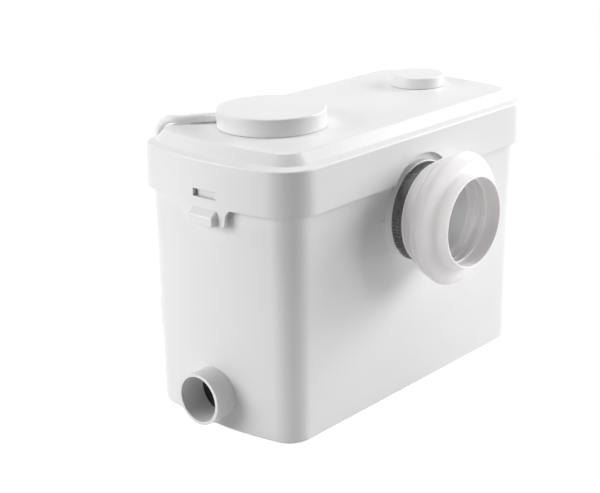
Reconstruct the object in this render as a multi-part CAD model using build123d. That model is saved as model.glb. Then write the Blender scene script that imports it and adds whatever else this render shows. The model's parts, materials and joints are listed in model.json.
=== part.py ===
from build123d import *

import os
from math import atan2, degrees, pi, radians, sqrt, tan

# A macerator toilet pump: a moulded tank with a rubber inlet sleeve in front and a side inlet low on its
# left end, and a lid that carries the motor, the cutter, the pump and the level switch. Two round caps on
# the lid close the motor's terminal bay and the vent. The mains cord leaves under the larger cap.
# Millimetres, +Z up. The origin is the centre of the tank's flat base, the inlet sleeve points to -Y and
# the side inlet to -X.

# Clearances that many pieces share
overrun = 6.0
full_turn = 360.0
rest_gap = 0.3
seat_gap = 0.1
running_gap = 0.05
pick = 0.01

# Lid shell
lid_length = 365.0
lid_width = 182.0
lid_corner = 33.6
lid_end_radius = 306.9
lid_wall = 3.0
skirt_bottom = 201.6
skirt_height = 37.7
skirt_draft = 1.27
band_rise = 2.0
band_run = 7.43
bevel_rise = 9.2
bevel_run = 8.3
skirt_edge_radius = 1.6
plateau_edge_radius = 2.4
band_edge_radius = 1.2
inner_run_share = 0.4
seal_rib_inset = 7.4
seal_rib_width = 2.4

# Clip tongues on the ends of the lid
tongue_width = 51.0
tongue_drop = 16.1
tongue_corner = 5.0
tongue_flare = 7.5
bulge_width = 29.0
bulge_depth = 5.8
bulge_bottom_step = 0.6
bulge_height = 14.4
bulge_slope_height = 6.2
bulge_edge_radius = 2.2
window_width = 25.6
window_bottom_step = 6.2
window_height = 6.8
grip_y = -3.2

# Tank
tank_wall = 3.0
tank_floor = 3.0
tank_inset = 6.7
tank_draft = 2.0
tank_corner = 25.0
tank_bow_ease = 2.0
tank_base_radius = 2.6
rim_above_skirt_bottom = 24.4
rim_thickness = 3.0
rim_gap = 0.6
seal_thickness = 3.0
catch_width = 24.0
catch_height = 5.6
catch_face = 6.6
catch_top = 1.4
catch_step = 4.6
base_notch_width = 20.0
base_notch_height = 2.0
base_notch_depth = 4.0
base_notch_y = -37.0

# Toilet inlet on the front
inlet_height = 170.2
boss_radius = 45.2
boss_step = 8.5
stub_radius = 40.8
stub_bore = 37.0
stub_length = 29.7
arch_radius = 46.8
arch_height = 175.7
tick_length = 5.0
tick_size = 1.2

# Rubber sleeve on the inlet. Shares run along its length and across its greatest radius.
sleeve_length = 54.7
sleeve_radius = 58.4
sleeve_neck = 43.4
sleeve_mouth = 38.9
sleeve_mouth_length = 14.0
sleeve_collar = 40.5
sleeve_rim_radius = 1.5
sleeve_ring_shares = [
    (0.182, 0.744), (0.185, 0.768), (0.212, 0.771), (0.223, 0.760), (0.241, 0.790), (0.300, 0.837),
    (0.366, 0.876), (0.464, 0.920), (0.475, 0.936), (0.490, 0.942), (0.505, 0.940), (0.516, 0.929),
    (0.603, 0.966), (0.614, 0.983), (0.640, 0.995), (0.668, 1.000), (0.694, 0.994), (0.716, 0.978),
    (0.736, 0.947), (0.754, 0.900), (0.769, 0.842), (0.784, 0.792), (0.803, 0.753), (0.828, 0.729),
    (0.862, 0.717),
]
sleeve_inner_shares = [(0.735, 0.640), (0.709, 0.640), (0.691, 0.719), (0.625, 0.719), (0.603, 0.637),
                       (0.578, 0.637), (0.556, 0.728), (0.468, 0.728), (0.439, 0.644), (0.386, 0.644)]

# Worm-drive band round the sleeve's neck
band_width = 9.6
band_thickness = 0.8
band_overlap_start = 118.0
band_overlap_turn = 96.0
band_slot_count = 15
band_slot_pitch = 4.2
band_slot_start = 176.0
band_slot_width = 1.1
band_slot_share = 0.6
worm_angle = -62.0
worm_slot_lean = 14.0
worm_housing_length = 15.0
worm_housing_height = 9.0
worm_radius = 2.9
worm_head_radius = 3.7
worm_head_length = 4.0
worm_slot = 1.0
worm_sink = 1.4

# Side inlet on the left end, with its rubber flap inside
side_height = 31.4
side_radius = 23.3
side_bore = 20.3
side_stub_length = 20.9
side_seat_step = 2.4
flap_thickness = 2.0
flap_rim_share = 0.5
flap_pin_radius = 1.5
flap_barrel_radius = 3.0
flap_barrel_length = 17.0
flap_barrel_lift = 3.4
lug_width = 4.0
lug_size = 8.0

# Motor cap and vent cap
motor_end_room = 92.5
motor_y = 4.5
cap_radius = 47.2
cap_height = 15.65
cap_wall = 2.5
cap_edge_radius = 1.6
collar_height = 8.0
collar_wall = 2.6
collar_gap = 0.4
bay_radius = 34.0
bay_screw_circle = 38.0
vent_end_room = 63.6
vent_cap_radius = 25.3
vent_cap_height = 10.5
vent_collar_height = 5.0
vent_collar_wall = 3.0
vent_hole_radius = 16.0
vent_filter_thickness = 4.4

# Motor housing
housing_radius = 44.0
housing_wall = 2.5
housing_bottom = 122.0
housing_floor = 3.0
housing_rib_depth = 3.0
housing_rib_width = 7.0
housing_rib_count = 4
bearing_radius = 11.0
bearing_width = 8.0
bearing_hub_wall = 3.0
seal_radius = 9.0
seal_width = 4.6
seal_lip_height = 1.6
shaft_radius = 5.0
boss_screw_radius = 3.8
boss_screw_depth = 16.0
screw_radius = 1.6
screw_head_radius = 3.2
screw_head_height = 2.0
screw_drive_depth = 1.0
screw_drive_width = 0.9
screw_length = 12.0
bracket_height = 203.0
bracket_thickness = 3.0

# Motor
stator_bottom = 142.0
stator_height = 42.0
stator_ledge = 3.0
stator_ledge_radius = 34.0
stator_bore = 21.5
slot_count = 12
slot_circle = 27.5
slot_radius = 3.0
winding_gap = 0.2
winding_inner = 23.6
winding_outer = 31.6
winding_height = 7.6
air_gap = 0.5
rotor_bar_count = 18
rotor_bar_radius = 1.2
rotor_ring_height = 3.0

# Terminal bay
terminal_length = 40.0
terminal_width = 15.0
terminal_height = 14.0
terminal_step = -15.0
terminal_count = 5
terminal_bore = 2.6
terminal_screw_radius = 2.2
terminal_screw_drop = 2.0
terminal_screw_height = 7.0
capacitor_radius = 12.0
capacitor_length = 42.0
capacitor_step = 13.0
clip_width = 10.0
clip_thickness = 1.0
clip_foot = 7.0

# Pump under the motor
pump_bottom = 13.0
suction_thickness = 3.0
suction_eye = 12.0
volute_radius = 40.0
volute_cavity = 34.0
volute_height = 28.0
volute_roof = 4.0
shaft_hole = 6.0
impeller_radius = 30.0
impeller_disc = 3.0
impeller_vane_height = 10.0
impeller_vane_thickness = 2.6
impeller_vane_count = 6
impeller_vane_lean = 32.0
impeller_hub = 9.0
impeller_roof_gap = 3.0
nut_radius = 8.0
nut_height = 4.0
pillar_radius = 4.0
pillar_circle = 37.0
pillar_start_angle = 45.0
pillar_count = 4
bolt_reach = 15.0
cutter_radius = 27.5
cutter_thickness = 4.0
cutter_arm_width = 12.0
cutter_edge_share = 0.35
cutter_hub_height = 12.0
cutter_step = 3.6
cutter_arm_step = 4.0

# Perforated basket round the cutter
basket_motor_room = 52.0
basket_end_room = 134.5
basket_side_room = 43.0
basket_height = 66.0
basket_wall = 2.5
basket_corner = 16.0
basket_hole_radius = 3.2
basket_hole_pitch = 13.0
basket_hole_margin = 15.0
basket_lip = 3.0

# Riser, non-return valve and outlet
outlet_step = 28.0
riser_back_room = 26.0
riser_radius = 10.0
riser_bore = 7.5
outlet_axis_step = 12.0
volute_neck_top = 57.0
riser_top = 165.0
coupling_wall = 2.2
coupling_length = 24.0
hose_clip_width = 5.0
hose_clip_thickness = 0.7
valve_radius = 14.5
valve_cavity = 12.0
valve_socket = 9.0
valve_seat = 3.0
valve_seat_bore = 6.5
valve_cavity_height = 21.0
valve_cover = 6.0
valve_flap_radius = 8.5
valve_flap_offset = 1.0
valve_flap_thickness = 2.0
valve_pin_radius = 1.0
valve_barrel_radius = 2.0
valve_barrel_length = 8.0
valve_pin_length = 22.0
outlet_height = 214.0
outlet_radius = 11.0
outlet_bore = 8.5
outlet_beyond = 47.0
outlet_free = 24.0
outlet_ridge = 1.4
outlet_ridge_width = 2.4
grommet_wall = 1.8
grommet_reach = 2.0
skirt_slot_gap = 0.9

# Level switch
switch_end_room = 110.5
tube_radius = 15.0
tube_bore = 13.0
tube_bottom = 25.0
switch_radius = 22.0
switch_wall = 2.0
switch_bottom = 205.0
switch_floor = 3.0
diaphragm_step = 6.0
diaphragm_thickness = 1.2
diaphragm_ledge = 3.0
clamp_ring_width = 2.4
clamp_ring_height = 6.8
bridge_thickness = 2.5
plunger_radius = 2.5
plunger_foot_radius = 8.0
plunger_foot_height = 2.0
microswitch_length = 14.6
microswitch_width = 10.0
microswitch_height = 11.5
microswitch_start = 4.0
lever_gap = 2.0
lever_thickness = 0.8
lever_width = 6.0
lever_overhang = 5.0
lever_pin_radius = 0.8
lever_barrel_radius = 1.6
lever_ear = 1.6
socket_rib_height = 7.0
socket_rib_wall = 2.0

# Mains cord. The points of its routes are chosen by hand along the way that it takes.
cord_diameter = 6.8
gland_step_x = -21.1
gland_step_y = 40.7
gland_heading = (-0.748, 0.664)
gland_radius = 4.2
gland_neck = 3.8
gland_flange = 4.3
gland_flange_length = 3.0
gland_neck_length = 4.6
gland_body_start = -1.3
gland_length = 26.0
gland_tip_radius = 3.9
gland_rib_count = 4
gland_rib_depth = 0.4
gland_notch_gap = 0.5
cord_exit_length = 10.0
cord_route = [
    (-140.8, 79.6, 254.0), (-138.0, 92.8, 245.8), (-135.0, 100.6, 226.0), (-134.4, 101.7, 184.0),
    (-134.2, 102.0, 136.0), (-133.6, 102.8, 88.0), (-130.8, 105.8, 47.0), (-120.0, 112.4, 17.0),
    (-97.0, 117.6, 5.0), (-66.0, 113.4, 3.8), (-34.0, 104.8, 3.7), (-12.0, 103.0, 3.7),
]
cord_bend_share = 0.45
coil_x = 16.0
coil_y = 149.5
coil_half_turns_in = 4
coil_half_turns_out = 3
coil_radius = 46.5
coil_gap = 0.6
tail_straight = 14.0
tail_route = [(54.0, 101.4, 10.4), (71.0, 103.6, 9.5), (87.0, 108.6, 9.5)]
lead_straight = 9.0
lead_route = [(0.4, 20.0, 250.6), (1.0, 8.4, 245.6), (0.0, -6.4, 242.0), (0.0, -6.4, 232.0)]
lead_core_radius = 0.95
lead_core_spacing = 2.2
lead_core_route = [(-5.8, 223.5), (-3.4, 214.5), (-4.8, 211.0)]

# Plug
plug_half_height = 9.5
plug_length = 34.0
plug_width = 37.0
plug_nose_share = 0.62
plug_edge_radius = 3.0
plug_neck_length = 16.0
plug_neck_radius = 5.2
plug_pin_radius = 2.0
plug_pin_length = 19.0
plug_pin_spacing = 19.0

# Heights and insets that follow from the sizes above
skirt_top = skirt_bottom + skirt_height
band_top = skirt_top + band_rise
plateau = band_top + bevel_rise
plateau_under = plateau - lid_wall
band_inset = skirt_draft + band_run
plateau_inset = band_inset + bevel_run
rim_top = skirt_bottom + rim_above_skirt_bottom
seal_bottom = rim_top + rest_gap
seal_top = seal_bottom + seal_thickness
lid_inner_at_rim = skirt_draft * rim_above_skirt_bottom / skirt_height + lid_wall
rim_inset = lid_inner_at_rim + rim_gap
tank_length = lid_length - 2 * tank_inset
tank_width = lid_width - 2 * tank_inset
tank_end_radius = lid_end_radius + tank_bow_ease
base_half_width = tank_width / 2 - tank_draft
base_half_length = tank_length / 2 - tank_draft
boss_front = base_half_width + boss_step
stub_reach = base_half_width + stub_length
side_reach = base_half_length + side_stub_length
motor_x = motor_end_room - lid_length / 2
vent_x = lid_length / 2 - vent_end_room
switch_x = lid_length / 2 - switch_end_room
terminal_y = motor_y + terminal_step
capacitor_y = motor_y + capacitor_step
gland_x = motor_x + gland_step_x
gland_y = motor_y + gland_step_y
basket_left = motor_x - basket_motor_room
basket_right = lid_length / 2 - basket_end_room
basket_half_width = lid_width / 2 - basket_side_room
outlet_x = motor_x + outlet_step
outlet_reach = lid_width / 2 + outlet_beyond
riser_y = lid_width / 2 - riser_back_room
collar_outer = cap_radius - cap_wall - collar_gap
collar_inner = collar_outer - collar_wall
volute_bottom = pump_bottom + suction_thickness
volute_top = volute_bottom + volute_height
basket_floor_top = volute_top + basket_wall
pillar_bottom = basket_floor_top
stator_radius = housing_radius - housing_wall - housing_rib_depth - seat_gap
stator_top = stator_bottom + stator_height
bracket_top = bracket_height + bracket_thickness
outlet_low_z = volute_bottom + outlet_axis_step
valve_bottom = riser_top - valve_socket
valve_seat_top = riser_top + valve_seat
valve_roof = valve_seat_top + valve_cavity_height
valve_top = valve_roof + valve_cover
valve_hinge_y = riser_y + valve_flap_offset - valve_flap_radius - valve_flap_thickness / 2
valve_hinge_z = valve_seat_top + rest_gap + valve_barrel_radius
gland_z = plateau + rest_gap + gland_radius
gland_angle = degrees(atan2(gland_heading[1], gland_heading[0]))
cord_radius = cord_diameter / 2
coil_pitch = cord_diameter + coil_gap
coil_low_z = rest_gap + cord_radius
vent_collar_outer = vent_cap_radius - cap_wall - collar_gap
flap_x = side_seat_step + rest_gap
diaphragm_z = switch_bottom + switch_floor + diaphragm_step
bridge_z = diaphragm_z + diaphragm_thickness + clamp_ring_height
microswitch_z = bridge_z + bridge_thickness
lever_z = microswitch_z + microswitch_height + lever_gap


def outline(length, width, corner, end_radius, inset=0.0):
    """A rectangle in plan with bowed ends and round corners, drawn in by inset."""
    half_length = length / 2 - inset
    half_width = width / 2 - inset
    radius = end_radius - inset
    shoulder = half_length - (radius - sqrt(radius**2 - half_width**2))
    right = ThreePointArc((shoulder, -half_width), (half_length, 0), (shoulder, half_width))
    back = Line((shoulder, half_width), (-shoulder, half_width))
    left = ThreePointArc((-shoulder, half_width), (-half_length, 0), (-shoulder, -half_width))
    front = Line((-shoulder, -half_width), (shoulder, -half_width))
    face = make_face([right, back, left, front])
    return fillet(face.vertices(), corner - inset)


def lid_outline(inset):
    return outline(lid_length, lid_width, lid_corner, lid_end_radius, inset)


def tank_outline(inset):
    return outline(tank_length, tank_width, tank_corner, tank_end_radius, inset)


def stack(levels, section):
    """A ruled loft through the section drawn at each (height, inset)."""
    return loft([Pos(0, 0, z) * section(inset) for z, inset in levels], ruled=True)


def plate(section, bottom, top):
    return Pos(0, 0, bottom) * extrude(section, top - bottom)


def rod(radius, bottom, top):
    """A cylinder about Z from one height to another."""
    return Pos(0, 0, (bottom + top) / 2) * Cylinder(radius, top - bottom)


def tube(outer, inner, bottom, top):
    return rod(outer, bottom, top) - rod(inner, bottom - overrun, top + overrun)


def block(x0, x1, y0, y1, z0, z1):
    """A box from its lowest to its highest corner."""
    middle = Pos((x0 + x1) / 2, (y0 + y1) / 2, (z0 + z1) / 2)
    return middle * Box(x1 - x0, y1 - y0, z1 - z0)


def turned(points):
    """A solid of revolution about Z from (radius, height) points."""
    face = make_face(Polyline([(r, 0, z) for r, z in points], close=True))
    return revolve(face, Axis.Z)


def ring_of(count, radius, shape, start=0.0):
    """Copies of a shape about Z, each first moved out along X."""
    step = full_turn / count
    return [Rot(0, 0, start + i * step) * Pos(radius, 0, 0) * shape for i in range(count)]


def edges_at(shape, height):
    return shape.edges().filter_by_position(Axis.Z, height - pick, height + pick)


def forward(shape):
    """Turns a shape made about +Z so that it points to -Y."""
    return Rot(90, 0, 0) * shape


def leftward(shape):
    """Turns a shape made about +Z so that it points to -X."""
    return Rot(0, -90, 0) * shape


def rearward(shape):
    """Turns a shape made about +Z so that it points to +Y."""
    return Rot(-90, 0, 0) * shape


def screw(length, radius=screw_radius):
    """A round-headed screw whose head stands on height 0, pointing down, with a straight driver slot."""
    head = rod(screw_head_radius, 0, screw_head_height)
    head = chamfer(head.edges().group_by(Axis.Z)[-1], screw_drive_depth / 2)
    drive_z = screw_head_height - screw_drive_depth
    drive = block(-screw_head_radius, screw_head_radius, -screw_drive_width / 2, screw_drive_width / 2,
                  drive_z, screw_head_height + overrun)
    return head - drive + rod(radius, -length, 0)


def gland_frame():
    """Moves a shape made about +Z to the gland's axis, heading out of the cap."""
    return Pos(gland_x, gland_y, gland_z) * Rot(0, 0, gland_angle) * Rot(0, 90, 0)


def lid_shell():
    """The lid's shell, with its skirt carried on down to the foot of the tongues."""
    slope = skirt_draft / (skirt_top - skirt_bottom)
    foot = skirt_bottom - tongue_drop
    outer_levels = [(foot, -tongue_drop * slope), (skirt_top, skirt_draft), (band_top, band_inset),
                    (plateau, plateau_inset)]
    body = stack(outer_levels, lid_outline)
    body = fillet(edges_at(body, skirt_top), skirt_edge_radius)
    body = fillet(edges_at(body, band_top), band_edge_radius)
    body = fillet(edges_at(body, plateau), plateau_edge_radius)
    inner_run = lid_wall * inner_run_share
    inner_levels = [
        (foot - overrun, lid_wall - (tongue_drop + overrun) * slope),
        (skirt_top - lid_wall, skirt_draft + lid_wall),
        (band_top - lid_wall, band_inset + inner_run),
        (plateau_under, plateau_inset + inner_run),
    ]
    return body - stack(inner_levels, lid_outline) - around_tongues()


def around_tongues():
    """What is cut from the foot of the skirt to leave a clip tongue on each end."""
    half = tongue_width / 2
    low = skirt_bottom - tongue_drop
    points = [(-lid_width, low - overrun), (-lid_width, skirt_bottom), (-half, skirt_bottom), (-half, low),
              (half, low), (half, skirt_bottom), (lid_width, skirt_bottom), (lid_width, low - overrun)]
    face = make_face(Polyline(points, close=True))
    inner = [v for v in face.vertices() if abs(abs(v.X) - half) < pick and abs(v.Y - skirt_bottom) < pick]
    face = fillet(inner, tongue_flare)
    outer = [v for v in face.vertices() if abs(abs(v.X) - half) < pick and abs(v.Y - low) < pick]
    return extrude(Plane.YZ * fillet(outer, tongue_corner), lid_length, both=True)


def bulge():
    """The finger grip on the left tongue."""
    low = skirt_bottom - tongue_drop + bulge_bottom_step
    high = low + bulge_height
    inside = lid_wall / 2
    points = [(-inside, low), (bulge_depth, low), (bulge_depth, high - bulge_slope_height), (-inside, high)]
    face = make_face(Polyline([(-lid_length / 2 - x, 0, z) for x, z in points], close=True))
    body = extrude(face, bulge_width / 2, both=True)
    outer = body.edges().filter_by_position(Axis.X, -lid_length, -lid_length / 2 - inside)
    return Pos(0, grip_y, 0) * fillet(outer, bulge_edge_radius)


def bay_opening():
    return rod(bay_radius, plateau_under - overrun, plateau + overrun)


def collar():
    """The ring that the motor cap fits over, with a slot open to the top for the gland's neck."""
    ring = Pos(motor_x, motor_y, 0) * tube(collar_outer, collar_inner, plateau, plateau + collar_height)
    neck = gland_frame() * rod(gland_neck + seat_gap, -collar_outer / 2, gland_length)
    recess = gland_frame() * rod(gland_flange + seat_gap, -collar_outer / 2, seat_gap - gland_neck_length)
    shoulder = gland_frame() * rod(gland_radius + seat_gap, gland_body_start - seat_gap, gland_length)
    slot_width = 2 * (gland_neck + seat_gap)
    slot = Pos(gland_x, gland_y, gland_z + collar_height) * Rot(0, 0, gland_angle)
    slot = slot * Box(collar_outer, slot_width, 2 * collar_height)
    return ring - neck - recess - shoulder - slot


def make_lid():
    body = lid_shell() + bulge() + mirror(bulge(), Plane.YZ)
    rib = lid_outline(seal_rib_inset) - lid_outline(seal_rib_inset + seal_rib_width)
    body += plate(rib, seal_top, band_top - lid_wall / 2)
    socket_inner = switch_radius + seat_gap
    socket_low = plateau_under - socket_rib_height
    socket = tube(socket_inner + socket_rib_wall, socket_inner, socket_low, plateau - pick)
    socket -= rod(socket_inner + socket_rib_wall + overrun, plateau_under + pick, plateau + overrun)
    body += Pos(switch_x, 0, 0) * socket
    window_low = skirt_bottom + window_bottom_step
    body -= block(-lid_length, lid_length, grip_y - window_width / 2, grip_y + window_width / 2, window_low,
                  window_low + window_height)
    body -= Pos(0, -tank_width / 2, arch_height) * forward(rod(arch_radius, -overrun, lid_width / 2))
    slot_radius_out = outlet_radius + skirt_slot_gap
    slot_end = rearward(rod(slot_radius_out, 0, overrun + overrun))
    body -= Pos(outlet_x, tank_width / 2, outlet_height) * slot_end
    body -= block(outlet_x - slot_radius_out, outlet_x + slot_radius_out, tank_width / 2, lid_width,
                  skirt_bottom - overrun, outlet_height)
    body += collar()
    body += Pos(vent_x, motor_y, 0) * tube(vent_collar_outer, vent_collar_outer - vent_collar_wall,
                                     plateau, plateau + vent_collar_height)
    body -= Pos(motor_x, motor_y, 0) * bay_opening()
    body -= Pos(vent_x, motor_y, 0) * rod(vent_hole_radius, plateau_under - overrun, plateau + overrun)
    hole = rod(screw_radius + seat_gap, plateau_under - overrun, plateau + overrun)
    for cut in ring_of(pillar_count, bay_screw_circle, hole, start=pillar_start_angle):
        body -= Pos(motor_x, motor_y, 0) * cut
    return body


def catch():
    """The catch on the left end of the tank that stands behind the window in the lid."""
    low = skirt_bottom + catch_step
    face_x = lid_length / 2 - lid_wall - skirt_draft - rest_gap
    root_x = tank_length / 2 - tank_wall / 2
    points = [(root_x, low - catch_height), (face_x, low), (face_x, low + catch_face),
              (root_x, low + catch_face + catch_top)]
    face = make_face(Polyline([(-x, 0, z) for x, z in points], close=True))
    return Pos(0, grip_y, 0) * extrude(face, catch_width / 2, both=True)


def tank_shell():
    slope = tank_draft / skirt_bottom
    body = stack([(0, tank_draft), (rim_top, tank_draft - rim_top * slope)], tank_outline)
    body = fillet(edges_at(body, 0), tank_base_radius)
    hollow_top = rim_top + overrun
    hollow_levels = [(tank_floor, tank_draft + tank_wall), (hollow_top,
                                                            tank_draft + tank_wall - hollow_top * slope)]
    rim = plate(lid_outline(rim_inset), rim_top - rim_thickness, rim_top)
    return body + rim - stack(hollow_levels, tank_outline)


def inlet_parts():
    """The round boss and the stub for the toilet's sleeve."""
    boss = forward(rod(boss_radius, base_half_width, boss_front))
    boss = chamfer(boss.edges().group_by(Axis.Y)[0], tank_wall / 5)
    stub = forward(rod(stub_radius, base_half_width, stub_reach))
    tick = block(-boss_radius - tick_length, tick_size - boss_radius, -tank_width / 2 - tick_size / 2,
                 -base_half_width, -tick_size / 2, tick_size / 2)
    return Pos(0, 0, inlet_height) * (boss + stub + tick)


def side_inlet_parts():
    """The side inlet's pipe, its inner seat and the two lugs that hold the flap's pin."""
    inner = base_half_length - tank_wall - side_seat_step
    pipe = leftward(rod(side_radius, inner, side_reach))
    lug_x0 = -base_half_length
    lug_x1 = -(inner - rest_gap - flap_barrel_radius - lug_size / 2)
    lug_z = side_radius + flap_barrel_lift
    lug_y = flap_barrel_length / 2 + rest_gap
    lug = block(lug_x0, lug_x1, lug_y, lug_y + lug_width, lug_z - lug_size / 2, lug_z + lug_size / 2)
    lugs = lug + mirror(lug, Plane.XZ)
    return Pos(0, 0, side_height) * (pipe + lugs)


def flap_hinge():
    """The middle of the side flap's hinge, as X and Z."""
    inner = base_half_length - tank_wall - side_seat_step
    return -(inner - rest_gap - flap_barrel_radius), side_height + side_radius + flap_barrel_lift


def grommet_section(gap):
    """The outline of the notch that the outlet's grommet fills, seen along Y."""
    radius = outlet_radius + grommet_wall + gap
    round_part = Pos(outlet_x, outlet_height) * Circle(radius)
    high = rim_top - rest_gap + 2 * gap
    straight = Pos(outlet_x, (outlet_height + high) / 2) * Rectangle(2 * radius, high - outlet_height)
    above = Pos(outlet_x, high + radius) * Rectangle(4 * radius, 2 * radius)
    return round_part + straight - above


def grommet_block(gap, y0, y1):
    face = Plane.XZ * grommet_section(gap)
    return Pos(0, y1, 0) * extrude(face, y1 - y0)


def make_tank():
    body = tank_shell() + inlet_parts() + side_inlet_parts() + catch() + mirror(catch(), Plane.YZ)
    body -= Pos(0, 0, inlet_height) * forward(rod(stub_bore, base_half_width / 2, stub_reach + overrun))
    body -= Pos(0, 0, side_height) * leftward(rod(side_bore, base_half_length / 2, side_reach + overrun))
    hinge_x, hinge_z = flap_hinge()
    pin_hole = Pos(hinge_x, 0, hinge_z) * forward(rod(flap_pin_radius + running_gap, -flap_barrel_length,
                                                     flap_barrel_length))
    body -= pin_hole
    body -= grommet_block(rest_gap, base_half_width / 2, lid_width / 2 + overrun)
    notch_x = -base_half_length - base_notch_depth / 2
    body -= block(notch_x - overrun, notch_x + base_notch_depth, base_notch_y - base_notch_width / 2,
                  base_notch_y + base_notch_width / 2, -overrun, base_notch_height)
    return body


def make_lid_seal():
    """The soft ring pressed against the lid's rib, which lifts away with the lid."""
    inset = seal_rib_inset - seat_gap
    ring = lid_outline(inset) - lid_outline(inset + seal_rib_width + 2 * seat_gap)
    return plate(ring, seal_bottom, seal_top)


def make_wc_sleeve():
    """The toilet sleeve, turned about its own axis from its neck at height 0 to its mouth."""
    outer = [(sleeve_neck, 0)]
    outer += [(r * sleeve_radius, s * sleeve_length) for s, r in sleeve_ring_shares]
    outer += [(sleeve_collar, sleeve_length - sleeve_rim_radius), (sleeve_collar, sleeve_length)]
    mouth_z = sleeve_length - sleeve_mouth_length
    inner = [(sleeve_mouth, sleeve_length), (sleeve_mouth, mouth_z)]
    inner += [(r * sleeve_radius, s * sleeve_length) for s, r in sleeve_inner_shares]
    stub_end = stub_reach - boss_front + rest_gap
    stop_radius = stub_radius - (stub_radius - stub_bore) / 2
    inner += [(stop_radius, stub_end), (stub_radius + seat_gap, stub_end), (stub_radius + seat_gap, 0)]
    body = turned(outer + inner)
    rim = [e for e in body.edges().filter_by(GeomType.CIRCLE)
           if abs(e.center().Z - sleeve_length) < pick]
    body = fillet(rim, sleeve_rim_radius * inner_run_share)
    return Pos(0, -boss_front - seat_gap, inlet_height) * forward(body)


def band_ring(inner, thickness, start, turn):
    """A strip of band about Z, from a start angle through a turn, standing on height 0."""
    outer = inner + thickness
    section = Pos(inner + thickness / 2, 0, band_width / 2) * (Plane.XZ * Rectangle(thickness, band_width))
    if turn < full_turn:
        return Rot(0, 0, start) * revolve(section, Axis.Z, turn)
    return tube(outer, inner, 0, band_width)


def worm_place():
    """Moves a shape from the worm's own frame, X along the worm and Y away from the band, onto the band."""
    reach = sleeve_neck + seat_gap + band_thickness + worm_housing_height / 2 - worm_sink
    return Rot(0, 0, worm_angle) * Pos(reach, 0, band_width / 2) * Rot(0, 0, -90)


def make_wc_clamp_band():
    inner = sleeve_neck + seat_gap
    band = band_ring(inner, band_thickness, 0.0, full_turn)
    band += band_ring(inner + band_thickness - pick, band_thickness, band_overlap_start, band_overlap_turn)
    slot = Box(worm_housing_height, band_slot_width, band_width * band_slot_share)
    for i in range(band_slot_count):
        turn = band_slot_start + i * band_slot_pitch
        place = Rot(0, 0, turn) * Pos(inner + band_thickness, 0, band_width / 2)
        band -= place * Rot(worm_slot_lean, 0, 0) * slot
    housing = worm_place() * Box(worm_housing_length, worm_housing_height, band_width)
    housing = fillet(housing.edges().filter_by(Axis.Z), band_thickness * 2)
    bore = rod(worm_radius + running_gap, -worm_housing_length, worm_housing_length)
    bore = worm_place() * Rot(0, 90, 0) * bore
    band = band + housing - bore - rod(inner, -overrun, band_width + overrun)
    return Pos(0, -boss_front - 2 * seat_gap, inlet_height) * forward(band)


def make_clamp_screw():
    half = worm_housing_length / 2
    body = rod(worm_radius, -half, half + rest_gap)
    head = extrude(RegularPolygon(worm_head_radius, 6), worm_head_length)
    head -= block(-worm_head_radius, worm_head_radius, -worm_slot / 2, worm_slot / 2,
                  worm_head_length - worm_slot,
                  worm_head_length + overrun)
    body += Pos(0, 0, half + rest_gap) * head
    body = worm_place() * Rot(0, 90, 0) * body
    return Pos(0, -boss_front - 2 * seat_gap, inlet_height) * forward(body)


def make_side_flap():
    """The rubber non-return flap, hanging shut against the seat inside the side inlet."""
    inner = base_half_length - tank_wall - flap_x
    disc = leftward(rod(side_radius - flap_rim_share, inner - flap_thickness, inner))
    disc += leftward(rod(side_bore - 2 * flap_thickness, inner - 2 * flap_thickness,
                         inner - flap_thickness + pick))
    disc = Pos(0, 0, side_height) * disc
    hinge_x, hinge_z = flap_hinge()
    half = flap_barrel_length / 2
    arm = block(-inner, -inner + flap_thickness, -half, half, side_height + side_radius / 2, hinge_z)
    barrel = Pos(hinge_x, 0, hinge_z) * forward(rod(flap_barrel_radius, -half, half))
    bore = Pos(hinge_x, 0, hinge_z) * forward(rod(flap_pin_radius + running_gap, -half - overrun,
                                                  half + overrun))
    return disc + arm + barrel - bore


def make_side_flap_pin():
    hinge_x, hinge_z = flap_hinge()
    half = flap_barrel_length / 2 + rest_gap + lug_width
    return Pos(hinge_x, 0, hinge_z) * forward(rod(flap_pin_radius, -half, half))


def round_cap(radius, height):
    """A round cap open below, standing just clear of the lid."""
    top = plateau + height
    body = rod(radius, plateau + rest_gap, top)
    body = fillet(body.edges().group_by(Axis.Z)[-1], cap_edge_radius)
    return body - rod(radius - cap_wall, plateau - overrun, top - cap_wall)


def make_motor_cap():
    body = Pos(motor_x, motor_y, 0) * round_cap(cap_radius, cap_height)
    radius = gland_radius + gland_notch_gap
    notch = gland_frame() * rod(radius, -cap_wall * 2, gland_length)
    below = Pos(gland_x, gland_y, gland_z - cap_height / 2) * Rot(0, 0, gland_angle)
    below = below * Pos(gland_length / 2 - 2 * cap_wall, 0, 0)
    below = below * Box(gland_length, 2 * radius, cap_height)
    return body - notch - below


def make_vent_cap():
    body = Pos(vent_x, motor_y, 0) * round_cap(vent_cap_radius, vent_cap_height)
    slot = block(-cap_wall, cap_wall, vent_cap_radius - 2 * cap_wall, vent_cap_radius + overrun, plateau,
                 plateau + rest_gap + cap_wall)
    return body - Pos(vent_x, motor_y, 0) * slot


def make_vent_filter():
    radius = vent_collar_outer - vent_collar_wall - seat_gap
    return Pos(vent_x, motor_y, 0) * rod(radius, plateau, plateau + vent_filter_thickness)


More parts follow.
